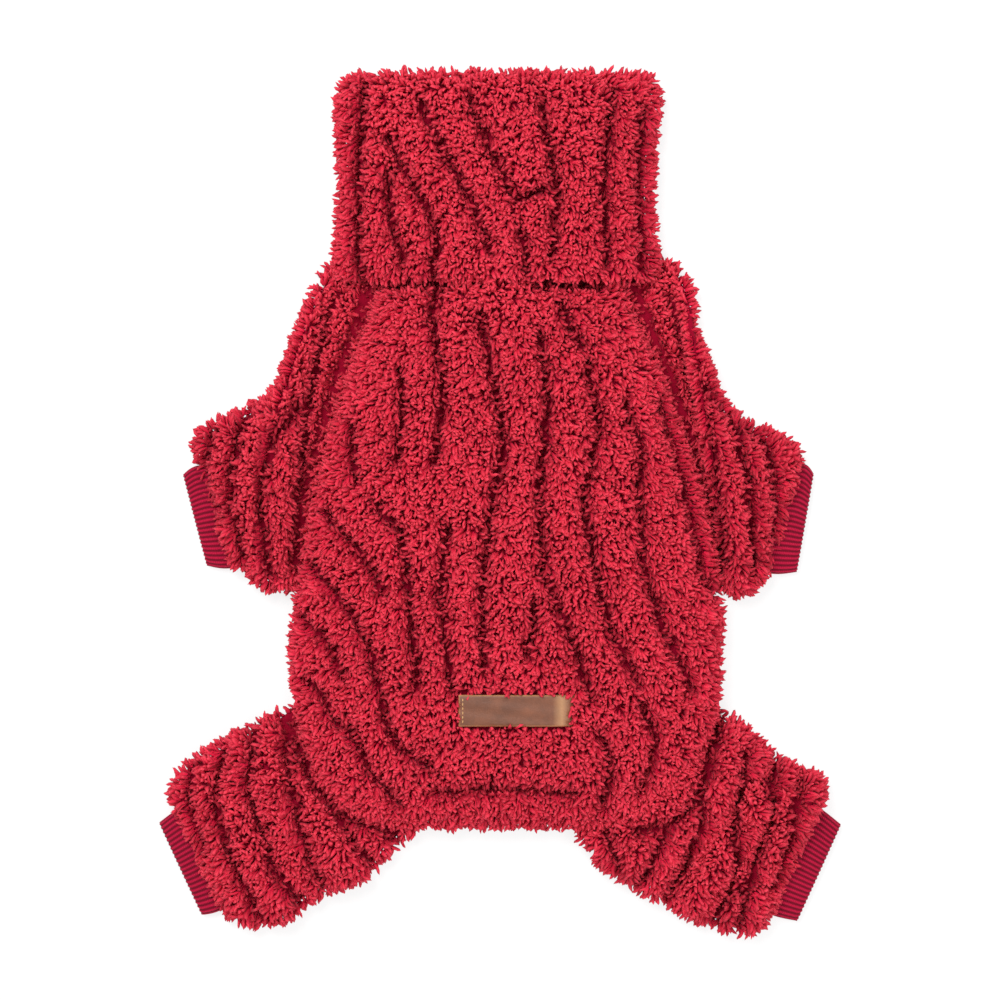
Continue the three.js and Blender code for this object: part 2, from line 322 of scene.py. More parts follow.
LABEL = {"left": -22.2, "right": 41.2, "front": -101.4, "rear": -118.4}
PATCH_CELLS = (64, 18)
PATCH_TOP = 26.6
BURIED_END = 9        # length of the patch's right end that dips into the pile
BURIED_DROP = 3.4
STITCHES = 6
STITCH_INSET = 2.2
STITCH_RADIUS = 0.34
STITCH_RINGS = 7
STITCH_SIDES = 8


# ---- settings ----------------------------------------------------------------------

def colour(name, description, default):
    """A colour that a user may change."""
    return bpy.props.FloatVectorProperty(
        name=name, description=description, subtype="COLOR", size=3, min=0, max=1,
        default=default,
    )


def length(name, description, default):
    """A length that a user may change."""
    return bpy.props.FloatProperty(
        name=name, description=description, subtype="DISTANCE", unit="LENGTH", min=0,
        default=default,
    )


def amount(name, description, default, unit="NONE"):
    """A plain number that a user may change."""
    return bpy.props.FloatProperty(
        name=name, description=description, default=default, min=0, unit=unit,
    )


class PlushSettings(bpy.types.PropertyGroup):
    """The pile of the plush."""

    lock_length: length("Lock length", "Length of a lock of pile", 6.6 * MM)
    lock_radius: length("Lock radius", "Half the width of a lock of pile", 1.4 * MM)
    spacing: length("Spacing", "Least distance between two locks", 1.36 * MM)
    swirl: amount("Swirl", "How far the locks bend together in clumps", 1.35)
    stray: amount("Stray", "How far each lock strays on its own", 0.2)
    seed: bpy.props.IntProperty(name="Seed", description="Seed of the pile", default=7)
    # The colours run from tip to root down each lock; the darker root is painted shade at the
    # bottom of the pile.
    tip: colour("Tip", "Colour of the lit tips", (0.74, 0.054, 0.084))
    middle: colour("Middle", "Colour half way down a lock", (0.66, 0.023, 0.056))
    root: colour("Root", "Colour at the backing", (0.60, 0.003, 0.040))


class RibSettings(bpy.types.PropertyGroup):
    """The rib knit of the cuffs."""

    pitch: length("Pitch", "Width of one rib", 2.7 * MM)
    relief: length("Relief", "Height of a rib", 0.62 * MM)
    crest: colour("Crest", "Colour on top of a rib", (0.40, 0.005, 0.036))
    # The colour between the ribs is painted shade.
    painted_rib_shade: colour("Groove", "Colour between two ribs", (0.13, 0.001, 0.012))


class PatchSettings(bpy.types.PropertyGroup):
    """The leather patch."""

    thickness: length("Thickness", "Thickness of the leather", 1.5 * MM)
    leather: colour("Leather", "Colour of the leather's face", (0.20, 0.066, 0.028))
    # The worn colour also paints the highlight along the patch's bend.
    worn: colour("Worn", "Colour of the worn edges", (0.56, 0.30, 0.135))
    thread: colour("Thread", "Colour of the stitches", (0.62, 0.36, 0.16))


class StageSettings(bpy.types.PropertyGroup):
    """Floor, lights and camera."""

    floor: colour("Floor", "Colour of the floor", (0.93, 0.93, 0.93))
    frame_width: length("Frame width", "Width of the view on the floor", 540.0 * MM)
    floor_size: length("Floor size", "Side of the floor", 12.0)
    floor_glow: amount("Floor glow", "Share of plain white that the camera sees there", 0.78)
    lens: amount("Lens", "Focal length in millimetres", 85.0)
    key_power: amount("Key power", "Power of the main light", 22.0, "POWER")
    fill_power: amount("Fill power", "Power of the light from the other side", 9.0, "POWER")
    ambient: amount("Ambient", "Strength of the even light all round", 0.72)


# ---- cloth geometry ----------------------------------------------------------------

def resampled(rows, step):
    """Rows of a loft as a smooth run of rings about `step` apart."""
    rows = np.asarray(rows, float)
    middles = (rows[:, 0:2] + rows[:, 2:4]) / 2
    reach = np.maximum.reduce([
        np.linalg.norm(np.diff(middles, axis=0), axis=1),
        np.linalg.norm(np.diff(rows[:, 0:2], axis=0), axis=1),
        np.linalg.norm(np.diff(rows[:, 2:4], axis=0), axis=1),
    ])
    run = np.concatenate([[0], np.cumsum(reach)])
    count = max(4, int(math.ceil(run[-1] / step)) + 1)
    places = np.interp(np.linspace(0, run[-1], count), run, np.arange(len(rows)))
    index = np.clip(places.astype(int), 0, len(rows) - 2)
    t = (places - index)[:, None]
    before = rows[np.maximum(index - 1, 0)]
    start = rows[index]
    end = rows[index + 1]
    after = rows[np.minimum(index + 2, len(rows) - 1)]
    slope_in = (end - before) / 2
    slope_out = (after - start) / 2
    return (
        (2 * t**3 - 3 * t**2 + 1) * start
        + (t**3 - 2 * t**2 + t) * slope_in
        + (-2 * t**3 + 3 * t**2) * end
        + (t**3 - t**2) * slope_out
    )


def profile(half, top, bottom, side, crown, count):
    """Evenly spaced points (across, up) round a ring that lies flat."""
    side = min(side, half * 0.45)
    flat = half - side
    shoulder = top - crown
    middle = (shoulder + bottom) / 2
    reach = (shoulder - bottom) / 2
    s = np.linspace(-1, 1, 60)
    turn = np.linspace(0, math.pi, 24)[1:-1]
    across = np.concatenate([s * flat, flat + side * np.sin(turn),
                             -s * flat, -flat - side * np.sin(turn)])
    up = np.concatenate([shoulder + crown * (1 - s * s), middle + reach * np.cos(turn),
                         np.full(60, bottom), middle - reach * np.cos(turn)])
    loop = np.column_stack([across, up])
    closed = np.vstack([loop, loop[:1]])
    run = np.concatenate([[0], np.cumsum(np.linalg.norm(np.diff(closed, axis=0), axis=1))])
    places = np.linspace(0, run[-1], count, endpoint=False)
    return np.column_stack([np.interp(places, run, closed[:, i]) for i in (0, 1)])


def ring_widths(rings):
    """Distance between the two edges of each ring."""
    return np.linalg.norm(rings[:, 2:4] - rings[:, 0:2], axis=1)


def placed(ring, loop):
    """A ring's points, put where the ring lies."""
    start, end = ring[0:2], ring[2:4]
    across = (end - start) / np.linalg.norm(end - start)
    plan = (start + end) / 2 + loop[:, :1] * across
    return np.column_stack([plan, loop[:, 1]])


def tube_grid(rows, step, inset, under, side, crown):
    """Points (ring, around, xyz) of a flat-lying tube, `inset` inside its pile."""
    rings = resampled(rows, step)
    widths = ring_widths(rings)
    count = int(round(2 * (widths.mean() + rings[:, 4].mean()) / step))
    grid = []
    for ring, width in zip(rings, widths):
        low = min(under, ring[4] * 0.4)
        top = max(ring[4] - inset, low + LEAST_FILL)
        grid.append(placed(ring, profile(width / 2 - inset, top, low, side, crown, count)))
    return np.array(grid)


def grid_normals(grid):
    """Outward normals of a tube's grid."""
    around = np.roll(grid, -1, axis=1) - np.roll(grid, 1, axis=1)
    along = np.gradient(grid, axis=0)
    normals = np.cross(along, around)
    normals /= np.maximum(np.linalg.norm(normals, axis=2, keepdims=True), 1e-9)
    centre = grid.mean(axis=1, keepdims=True)
    if np.sum(normals * (grid - centre)) < 0:
        normals = -normals
    return normals


def channel_distance(points, lines):
    """Distance in plan from each point to the nearest channel."""
    nearest = np.full(points.shape[:-1], 1e6)
    plan = points[..., :2]
    for line in lines:
        run = smooth_line(line)
        for start, end in zip(run[:-1], run[1:]):
            way = end - start
            t = np.clip(((plan - start) @ way) / max(way @ way, 1e-9), 0, 1)
            foot = start + t[..., None] * way
            nearest = np.minimum(nearest, np.linalg.norm(plan - foot, axis=-1))
    return nearest


def smooth_line(line):
    """A channel's points as a finer, gently wavy line."""
    points = np.asarray(line, float)
    run = np.concatenate([[0], np.cumsum(np.linalg.norm(np.diff(points, axis=0), axis=1))])
    places = np.linspace(0, run[-1], max(2, int(run[-1] / 7) + 1))
    x = np.interp(places, run, points[:, 0])
    y = np.interp(places, run, points[:, 1])
    wave = 0.9 * np.sin(places * 0.55 + points[0, 0])
    return np.column_stack([x + wave, y])


def ripples(points, scale):
    """Slow unevenness between -1 and 1, the same each run."""
    x, y = points[..., 0] / scale, points[..., 1] / scale
    return (np.sin(x * 1.3 + 0.7 * np.sin(y * 0.9)) + np.sin(y * 1.1 + 1.9 + 0.8 * np.sin(x))) / 2


def plush_surface(name, step, drop=0.0):
    """Points, faces, pile guides and normals of one plush tube."""
    crown = BODY_CROWN if name in ("body", "collar") else LIMB_CROWN
    grid = tube_grid(RINGS[name], step, NAP_DEPTH + drop, REST_DEPTH, SIDE_ROUND, crown)
    normals = grid_normals(grid)
    comb = comb_direction(name, grid, normals)
    upper = np.clip(normals[..., 2] * 1.4, 0, 1)
    distance = channel_distance(grid, CHANNELS[name])
    channel = np.exp(-(distance / CHANNEL_HALF_WIDTH) ** 2) * upper
    ridge = np.clip(distance / RIDGE_REACH, 0, 1) ** 0.8
    ripple = RIPPLE_HEIGHT * ripples(grid, RIPPLE_LENGTH)
    grid[..., 2] += upper * (ripple + RIDGE_RISE * (ridge - 0.7))
    grid[..., 2] -= CHANNEL_DEPTH * channel
    grid[..., 2] = np.maximum(grid[..., 2], REST_DEPTH * 0.8)
    parting = np.exp(-(distance / PARTING_HALF_WIDTH) ** 2) * upper
    nap = np.where(normals[..., 2] < UNDERSIDE, UNDER_NAP, 1 - CHANNEL_NAP * channel)
    guides = {
        "comb": comb.reshape(-1, 3),
        "nap": nap.ravel(),
        # the channel mask also darkens the pile's colour there, as painted shade
        "channel": channel.ravel(),
        "cover": (cover_of(name, grid, normals) * (1 - PARTING_SHARE * parting)).ravel(),
    }
    points = grid.reshape(-1, 3)
    faces = turned_out(points, grid_faces(*grid.shape[:2]), normals.reshape(-1, 3))
    return points, faces, guides, normals.reshape(-1, 3)


def comb_direction(name, grid, normals):
    """Which way the pile leans: down the tube, and outwards at its edges."""
    along = np.gradient(grid, axis=0)
    along /= np.maximum(np.linalg.norm(along, axis=2, keepdims=True), 1e-9)
    if name == "collar":
        along = -along
    centre = grid.mean(axis=1, keepdims=True)
    outward = grid - centre
    outward[..., 2] = 0
    reach = np.linalg.norm(outward, axis=2, keepdims=True)
    outward /= np.maximum(reach.max(axis=1, keepdims=True), 1e-9)
    edge = np.linalg.norm(outward, axis=2, keepdims=True) ** 2
    lean = 0.55 * along + 0.7 * outward * edge + 0.15 * outward
    comb = normals + lean
    under = normals[..., 2] < -0.2
    comb[..., 2] = np.where(under, comb[..., 2] * 0.4, comb[..., 2])
    return comb / np.linalg.norm(comb, axis=2, keepdims=True)


def cover_of(name, grid, normals):
    """How densely the pile covers each point: thin below, none under the patch."""
    cover = np.where(normals[..., 2] < UNDERSIDE, UNDER_COVER, 1.0)
    if name == "body":
        x, y = grid[..., 0], grid[..., 1]
        covered = (
            (x > LABEL["left"]) & (x < LABEL["right"] - 3)
            & (y < LABEL["front"] + 1.5) & (y > LABEL["rear"] - 0.5) & (normals[..., 2] > 0)
        )
        cover = np.where(covered, 0.0, cover)
    return cover


def grid_faces(rings, count):
    """Quads of a tube that is open at both ends, facing out."""
    i, j = np.meshgrid(np.arange(rings - 1), np.arange(count), indexing="ij")
    k = (j + 1) % count
    return np.stack([i * count + j, i * count + k, (i + 1) * count + k, (i + 1) * count + j],
                    axis=-1).reshape(-1, 4)


def mesh_object(name, points, faces, attributes=None):
    """A mesh object at the origin from points in millimetres."""
    mesh = bpy.data.meshes.new(name)
    mesh.from_pydata((points * MM).tolist(), [], [list(face) for face in faces])
    for key, values in (attributes or {}).items():
        kind = "FLOAT_VECTOR" if values.ndim == 2 else "FLOAT"
        data = mesh.attributes.new(key, kind, "POINT").data
        data.foreach_set("vector" if values.ndim == 2 else "value", values.ravel())
    mesh.polygons.foreach_set("use_smooth", [True] * len(mesh.polygons))
    mesh.update()
    obj = bpy.data.objects.new(name, mesh)
    bpy.context.scene.collection.objects.link(obj)
    return obj


def turned_out(points, faces, normals):
    """The faces, turned round if they face in."""
    quad = points[faces]
    facing = np.cross(quad[:, 1] - quad[:, 0], quad[:, 2] - quad[:, 0])
    if np.sum(facing * normals[faces].mean(axis=1)) < 0:
        return faces[:, ::-1]
    return faces


def belly_side(centres, normals):
    """Which faces of the body's tube belong to the belly panel."""
    seams = np.array(BELLY_SEAMS)[::-1]
    left = np.interp(centres[:, 1], seams[:, 0], seams[:, 1])
    right = np.interp(centres[:, 1], seams[:, 0], seams[:, 2])
    return (normals[:, 2] < -0.5) & (centres[:, 0] > left) & (centres[:, 0] < right)


def used_only(points, faces, attributes):
    """Points, faces and attributes without the points that no face uses."""
    keep = np.unique(faces)
    renumber = np.full(len(points), -1)
    renumber[keep] = np.arange(len(keep))
    return points[keep], renumber[faces], {k: v[keep] for k, v in attributes.items()}


def finish_modifiers(obj):
    """Apply an object's modifiers by making its evaluated shape its mesh."""
    depsgraph = bpy.context.evaluated_depsgraph_get()
    mesh = bpy.data.meshes.new_from_object(obj.evaluated_get(depsgraph))
    old = obj.data
    obj.modifiers.clear()
    obj.data = mesh
    bpy.data.meshes.remove(old)
    mesh.name = obj.name
    return obj


def thicken(obj, thickness):
    """Give a sheet its thickness, inwards."""
    wall = obj.modifiers.new("wall", "SOLIDIFY")
    wall.thickness = thickness * MM
    wall.offset = -1
    return finish_modifiers(obj)


# ---- the pile tree -----------------------------------------------------------------

def lock_pattern(name, bend, twist, collection):
    """One lock of pile: a bent, tapering three-sided lock of unit length and radius."""
    levels = ((0.0, 0.7), (0.5, 1.1), (0.84, 0.9))
    points = []
    along = []
    for t, radius in levels:
        for k in range(3):
            angle = 2 * math.pi * k / 3 + twist * t
            points.append((bend * t * t + radius * math.cos(angle),
                           0.4 * twist * t + 0.75 * radius * math.sin(angle), t))
            along.append(t)
    points.append((bend, 0.4 * twist, 1.0))
    along.append(1.0)
    faces = []
    for ring in range(2):
        for k in range(3):
            here = ring * 3 + k
            beside = ring * 3 + (k + 1) % 3
            faces.append((here, beside, beside + 3, here + 3))
    faces += [(6 + k, 6 + (k + 1) % 3, 9) for k in range(3)]
    mesh = bpy.data.meshes.new(name)
    mesh.from_pydata(points, [], faces)
    mesh.attributes.new("along", "FLOAT", "POINT").data.foreach_set("value", along)
    mesh.polygons.foreach_set("use_smooth", [True] * len(mesh.polygons))
    collection.objects.link(bpy.data.objects.new(name, mesh))


def wire(tree, source, target):
    """Link two sockets."""
    tree.links.new(source, target)


def feed(tree, node, inputs):
    """Wire a node's inputs, or give them plain values."""
    for name, value in inputs.items():
        if isinstance(value, bpy.types.NodeSocket):
            wire(tree, value, node.inputs[name])
        else:
            node.inputs[name].default_value = value


def add_node(tree, kind, inputs=None, **properties):
    """A node with its properties and inputs set."""
    node = tree.nodes.new(kind)
    for name, value in properties.items():
        setattr(node, name, value)
    feed(tree, node, inputs or {})
    return node


def named(tree, name, kind="FLOAT"):
    """An attribute of the geometry by its name."""
    node = add_node(tree, "GeometryNodeInputNamedAttribute", {"Name": name}, data_type=kind)
    return node.outputs["Attribute"]


def vector_math(tree, operation, first, second):
    """Two vectors joined by an operation; the second may be a plain one."""
    node = add_node(tree, "ShaderNodeVectorMath", {0: first, 1: second}, operation=operation)
    return node.outputs["Vector"]


def scaled(tree, vector, factor):
    """A vector times a number."""
    node = add_node(tree, "ShaderNodeVectorMath", {0: vector, "Scale": factor}, operation="SCALE")
    return node.outputs["Vector"]


def number_math(tree, operation, first, second):
    """Two numbers joined by an operation; the second may be a plain one."""
    return add_node(tree, "ShaderNodeMath", {0: first, 1: second}, operation=operation).outputs[0]


def random_value(tree, kind, low, high, seed):
    """A random value for each lock, always the same for the same seed."""
    node = tree.nodes.new("FunctionNodeRandomValue")
    node.data_type = kind
    sockets = [s for s in node.inputs if s.enabled]
    sockets[0].default_value = low
    sockets[1].default_value = high
    sockets[-1].default_value = seed
    return next(s for s in node.outputs if s.enabled)


def pressed(tree, geometry):
    """The pile with everything under the floor pressed up onto it."""
    position = add_node(tree, "GeometryNodeInputPosition").outputs["Position"]
    parts = add_node(tree, "ShaderNodeSeparateXYZ", {"Vector": position}).outputs
    above = number_math(tree, "MAXIMUM", parts["Z"], 0.1 * MM)
    place = add_node(tree, "ShaderNodeCombineXYZ", {"X": parts["X"], "Y": parts["Y"], "Z": above})
    move = add_node(tree, "GeometryNodeSetPosition",
                    {"Geometry": geometry, "Position": place.outputs["Vector"]})
    return move.outputs["Geometry"]


PILE_INPUTS = {
    "Bed": "Geometry",
    "Spacing": "Float",
    "Lock Length": "Float",
    "Lock Radius": "Float",
    "Swirl": "Float",
    "Stray": "Float",
    "Seed": "Int",
    "Material": "Material",
}
MOST_LOCKS_PER_AREA = 900000.0  # per square metre, before the spacing thins them


def pile_tree(patterns):
    """Geometry Nodes that plant locks of pile on a bed."""
    tree = bpy.data.node_groups.new("plush_pile", "GeometryNodeTree")
    for name, kind in PILE_INPUTS.items():
        tree.interface.new_socket(name, in_out="INPUT", socket_type="NodeSocket" + kind)
    tree.interface.new_socket("Pile", in_out="OUTPUT", socket_type="NodeSocketGeometry")
    given = tree.nodes.new("NodeGroupInput").outputs

    spread = add_node(tree, "GeometryNodeDistributePointsOnFaces", distribute_method="POISSON")
    feed(tree, spread, {
        "Mesh": given["Bed"],
        "Distance Min": given["Spacing"],
        "Density Max": MOST_LOCKS_PER_AREA,
        "Density Factor": named(tree, "cover"),
        "Seed": given["Seed"],
    })

    clumps = add_node(tree, "ShaderNodeTexNoise", {"Scale": 120.0, "Detail": 1.5})
    swirl = vector_math(tree, "SUBTRACT", clumps.outputs["Color"], (0.5, 0.5, 0.5))
    swirl = scaled(tree, swirl, given["Swirl"])
    stray = random_value(tree, "FLOAT_VECTOR", (-1, -1, -1), (1, 1, 1), 3)
    stray = scaled(tree, stray, given["Stray"])
    way = vector_math(tree, "ADD", named(tree, "comb", "FLOAT_VECTOR"), swirl)
    way = vector_math(tree, "ADD", way, stray)

    aim = add_node(tree, "FunctionNodeAlignRotationToVector", {"Vector": way}, axis="Z")
    around = random_value(tree, "FLOAT", 0.0, 2 * math.pi, 5)
    turn = add_node(tree, "FunctionNodeAxisAngleToRotation", {"Angle": around})
    spin = add_node(tree, "FunctionNodeRotateRotation", rotation_space="LOCAL")
    feed(tree, spin, {"Rotation": aim.outputs["Rotation"], "Rotate By": turn.outputs["Rotation"]})

    tall = number_math(tree, "MULTIPLY", given["Lock Length"], named(tree, "nap"))
    tall = number_math(tree, "MULTIPLY", tall, random_value(tree, "FLOAT", 0.72, 1.15, 11))
    wide = random_value(tree, "FLOAT", 0.7, 1.2, 13)
    wide = number_math(tree, "MULTIPLY", given["Lock Radius"], wide)
    size = add_node(tree, "ShaderNodeCombineXYZ", {"X": wide, "Y": wide, "Z": tall})

    kinds = add_node(tree, "GeometryNodeCollectionInfo",
                     {"Collection": patterns, "Separate Children": True, "Reset Children": True})
    plant = add_node(tree, "GeometryNodeInstanceOnPoints", {
        "Points": spread.outputs["Points"],
        "Instance": kinds.outputs["Instances"],
        "Pick Instance": True,
        "Instance Index": random_value(tree, "INT", 0, len(patterns.objects) - 1, 17),
        "Rotation": spin.outputs["Rotation"],
        "Scale": size.outputs["Vector"],
    })
    shade = add_node(tree, "GeometryNodeStoreNamedAttribute", data_type="FLOAT", domain="INSTANCE")
    feed(tree, shade, {
        "Name": "shade",
        "Geometry": plant.outputs["Instances"],
        "Value": random_value(tree, "FLOAT", 0.0, 1.0, 19),
    })
    real = add_node(tree, "GeometryNodeRealizeInstances", {"Geometry": shade.outputs["Geometry"]})
    paint = add_node(tree, "GeometryNodeSetMaterial", {
        "Geometry": pressed(tree, real.outputs["Geometry"]),
        "Material": given["Material"],
    })
    add_node(tree, "NodeGroupOutput", {"Pile": paint.outputs["Geometry"]})
    return tree


def set_input(modifier, tree, name, value):
    """Set a modifier's input by its socket's identifier."""
    socket = next(s for s in tree.interface.items_tree
                  if s.name == name and s.in_out == "INPUT")
    modifier[socket.identifier] = value


def grow_pile(name, bed, tree, settings, material):
    """A pile piece, grown on its bed."""
    pile = mesh_object(name, *bed)
    nodes = pile.modifiers.new("pile", "NODES")
    nodes.node_group = tree
    values = {
        "Spacing": settings.spacing,
        "Lock Length": settings.lock_length,
        "Lock Radius": settings.lock_radius,
        "Swirl": settings.swirl,
        "Stray": settings.stray,
        "Seed": settings.seed,
        "Material": material,
    }
    for socket, value in values.items():
        set_input(nodes, tree, socket, value)
    return finish_modifiers(pile)


# ---- materials ---------------------------------------------------------------------

def new_material(name, values):
    """A material, its tree and its Principled shader with some inputs set."""
    material = bpy.data.materials.new(name)
    material.use_nodes = True
    tree = material.node_tree
    shader = tree.nodes["Principled BSDF"]
    feed(tree, shader, values)
    return material, tree, shader


def attribute(tree, name):
    """An attribute of the piece, as a number."""
    return add_node(tree, "ShaderNodeAttribute", attribute_name=name).outputs["Fac"]


def ramp(tree, factor, stops):
    """Colours along a number; the first two stops are the ends."""
    node = tree.nodes.new("ShaderNodeValToRGB")
    elements = node.color_ramp.elements
    for i, (place, rgb) in enumerate(stops):
        element = elements[i] if i < 2 else elements.new(place)
        element.position = place
        element.color = (*rgb, 1)
    wire(tree, factor, node.inputs["Fac"])
    return node.outputs["Color"]


def noise_group():
    """Unevenness over a surface, for mottled colour, fibre and grain."""
    group = bpy.data.node_groups.new("surface_noise", "ShaderNodeTree")
    given = group.nodes.new("NodeGroupInput")
    place = group.nodes.new("ShaderNodeTexCoord")
    grain = group.nodes.new("ShaderNodeTexNoise")
    for name in ("Scale", "Detail"):
        group.interface.new_socket(name, in_out="INPUT", socket_type="NodeSocketFloat")
        wire(group, given.outputs[name], grain.inputs[name])
    wire(group, place.outputs["Object"], grain.inputs["Vector"])
    group.interface.new_socket("Mask", in_out="OUTPUT", socket_type="NodeSocketFloat")
    wire(group, grain.outputs["Fac"], group.nodes.new("NodeGroupOutput").inputs["Mask"])
    return group


def noise(tree, scale, detail):
    """The shared noise at a material's own scale and detail."""
    group = bpy.data.node_groups.get("surface_noise") or noise_group()
    node = add_node(tree, "ShaderNodeGroup", node_tree=group)
    feed(tree, node, {"Scale": scale, "Detail": detail})
    return node.outputs["Mask"]


def mixed(tree, factor, first, second, blend="MIX"):
    """Two colours mixed; the factor and either colour may be plain or linked."""
    node = add_node(tree, "ShaderNodeMix", data_type="RGBA", blend_type=blend)
    a, b = [s for s in node.inputs if s.type == "RGBA"]
    for socket, value in ((node.inputs["Factor"], factor), (a, first), (b, second)):
        if isinstance(value, bpy.types.NodeSocket):
            wire(tree, value, socket)
        elif isinstance(value, float):
            socket.default_value = value
        else:
            socket.default_value = (*value, 1)
    return next(s for s in node.outputs if s.type == "RGBA")


def tinted(tree, colour_in, tint):
    """A colour times a tint."""
    return mixed(tree, 1.0, colour_in, tint, "MULTIPLY")


def add_bump(tree, shader, height, strength, distance):
    """A height that the shader shows as relief."""
    bump = add_node(tree, "ShaderNodeBump",
                    {"Strength": strength, "Distance": distance, "Height": height})
    wire(tree, bump.outputs["Normal"], shader.inputs["Normal"])


def pile_material(settings):
    """Plush: light at its tips, with painted shade making it dark at its roots and dark red in its
    channels.
    """
    material, tree, shader = new_material("plush_pile", {
        "Roughness": 0.85,
        "Specular IOR Level": 0.12,
        "Sheen Weight": 0.12,
        "Sheen Roughness": 0.5,
        "Sheen Tint": (1.0, 0.25, 0.32, 1),
    })
    # Painted shade: the ramp darkens each lock from its tip down to its root, where the locks
    # shade one another.
    stops = [(0.0, settings.root), (1.0, settings.tip), (0.5, settings.middle)]
    pile = ramp(tree, attribute(tree, "along"), stops)
    light = tinted(tree, pile, (1.12, 1.18, 1.18))
    dark = tinted(tree, pile, (0.86, 0.70, 0.76))
    locks = mixed(tree, attribute(tree, "shade"), dark, light)
    dull = tinted(tree, locks, (0.86, 0.74, 0.78))
    mottled = mixed(tree, noise(tree, 22.0, 2.0), locks, dull)
    # Painted shade along the channels, where the pile parts into a dark line.
    painted_channel_shade = tinted(tree, mottled, (0.36, 0.10, 0.22))
    wire(tree, mixed(tree, attribute(tree, "channel"), mottled, painted_channel_shade),
         shader.inputs["Base Color"])
    add_bump(tree, shader, noise(tree, 1500.0, 4.0), 0.4, 0.0004)
    return material


def painted_shade_backing_material(settings):
    """The knitted backing, which shows only between the locks, painted darker than their roots as
    the shade between them.
    """
    material, tree, shader = new_material(
        "plush_backing", {"Roughness": 0.95, "Specular IOR Level": 0.1})
    # Painted shade: the backing's colour is half the roots' colour, and darker still in its
    # mottling.
    root = tuple(0.5 * value for value in settings.root)
    darker_painted_shade = tuple(0.6 * value for value in root)
    wire(tree, mixed(tree, noise(tree, 300.0, 3.0), darker_painted_shade, root), shader.inputs["Base Color"])
    add_bump(tree, shader, noise(tree, 900.0, 4.0), 0.6, 0.0006)
    return material


def rib_material(settings):
    """Rib knit: painted shade between the ribs, with rows of stitches along them."""
    material, tree, shader = new_material("rib_knit", {
        "Roughness": 0.8,
        "Specular IOR Level": 0.12,
        "Sheen Weight": 0.05,
        "Sheen Roughness": 0.5,
    })
    # Painted shade: the colour falls from the crest's colour to a dark one between the ribs.
    knit = ramp(tree, attribute(tree, "crest"), [(0.15, settings.painted_rib_shade), (0.85, settings.crest)])
    uv = add_node(tree, "ShaderNodeUVMap", uv_map="knit").outputs["UV"]
    stitches = add_node(tree, "ShaderNodeTexWave",
                        {"Scale": 0.32, "Distortion": 0.6, "Vector": uv}, bands_direction="Y")
    rows = mixed(tree, stitches.outputs["Fac"], knit, tinted(tree, knit, (0.78, 0.7, 0.74)))
    faded = tinted(tree, rows, (1.25, 1.3, 1.3))
    wire(tree, mixed(tree, noise(tree, 60.0, 3.0), rows, faded), shader.inputs["Base Color"])
    add_bump(tree, shader, stitches.outputs["Fac"], 0.5, 0.0003)
    return material


def leather_material(settings):
    """Smooth brown leather, pale where its edges are worn, with a painted highlight along its
    bend.
    """
    material, tree, shader = new_material(
        "label_leather", {"Roughness": 0.48, "Specular IOR Level": 0.45})
    dark = tuple(0.25 * value for value in settings.leather)
    face = mixed(tree, noise(tree, 130.0, 5.0), dark, tuple(settings.leather))
    dry = tinted(tree, face, (1.35, 1.3, 1.25))
    grained = mixed(tree, noise(tree, 420.0, 3.0), face, dry)
    # The edge mask holds the worn edges and the painted highlight on the bend.
    wire(tree, mixed(tree, attribute(tree, "edge"), grained, tuple(settings.worn)),
         shader.inputs["Base Color"])
    add_bump(tree, shader, noise(tree, 1100.0, 4.0), 0.5, 0.0003)
    return material


def thread_material(settings):
    """The tan thread of the patch's stitches."""
    material, tree, shader = new_material("patch_thread", {"Roughness": 0.7})
    dark = tuple(0.7 * value for value in settings.thread)
    wire(tree, mixed(tree, noise(tree, 900.0, 2.0), dark, tuple(settings.thread)),
         shader.inputs["Base Color"])
    return material


# ---- pieces ------------------------------------------------------------------------

def belongs(piece, slot, *nodes):
    """A finished piece rides on the suit and hides the nodes it stands for. Its finish is not
    used.
    """
    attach(piece, "root")
    if nodes:
        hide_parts(*nodes)


def plush_piece(name, node, cloth, beds, kit):
    """A backing and the pile on its beds."""
    backing = mesh_object(f"{name}_cloth", *cloth)
    backing.data.materials.append(kit["backing"])
    piles = [grow_pile(f"{zone}_pile", bed, kit["tree"], kit["settings"], kit["pile"])
             for zone, bed in beds.items()]
    thicken(backing, CLOTH_THICKNESS)
    belongs(backing, "plush", node)
    for pile in piles:
        belongs(pile, "plush")


def make_plush():
    """All plush pieces: the body's two panels and each other tube."""
    settings = bpy.context.scene.pajama_plush
    patterns = bpy.data.collections.new("pile_patterns")
    shapes = ((2.2, 0.6), (3.2, -0.9), (-1.8, 1.2), (1.2, -0.5))
    for i, (bend, twist) in enumerate(shapes):
        lock_pattern(f"lock_{i}", bend, twist, patterns)
    kit = {
        "tree": pile_tree(patterns),
        "settings": settings,
        "pile": pile_material(settings),
        "backing": painted_shade_backing_material(settings),
    }
    make_body(kit)
    for name, cut in PLUSH_TUBES.items():
        cloth = plush_surface(name, CLOTH_STEP, BACKING_DROP)[:2]
        bed = plush_surface(name, BED_STEP)[:3]
        plush_piece(name, name, cloth, {name: bed}, kit)
    for lock in list(patterns.objects):
        bpy.data.objects.remove(lock)
    bpy.data.collections.remove(patterns)


def body_surface(step, drop=0.0):
    """The body's surface, the middles of its faces, and which of them are belly."""
    points, faces, guides, normals = plush_surface("body", step, drop)
    middles = points[faces].mean(axis=1)
    return points, faces, guides, middles, belly_side(middles, normals[faces].mean(axis=1))


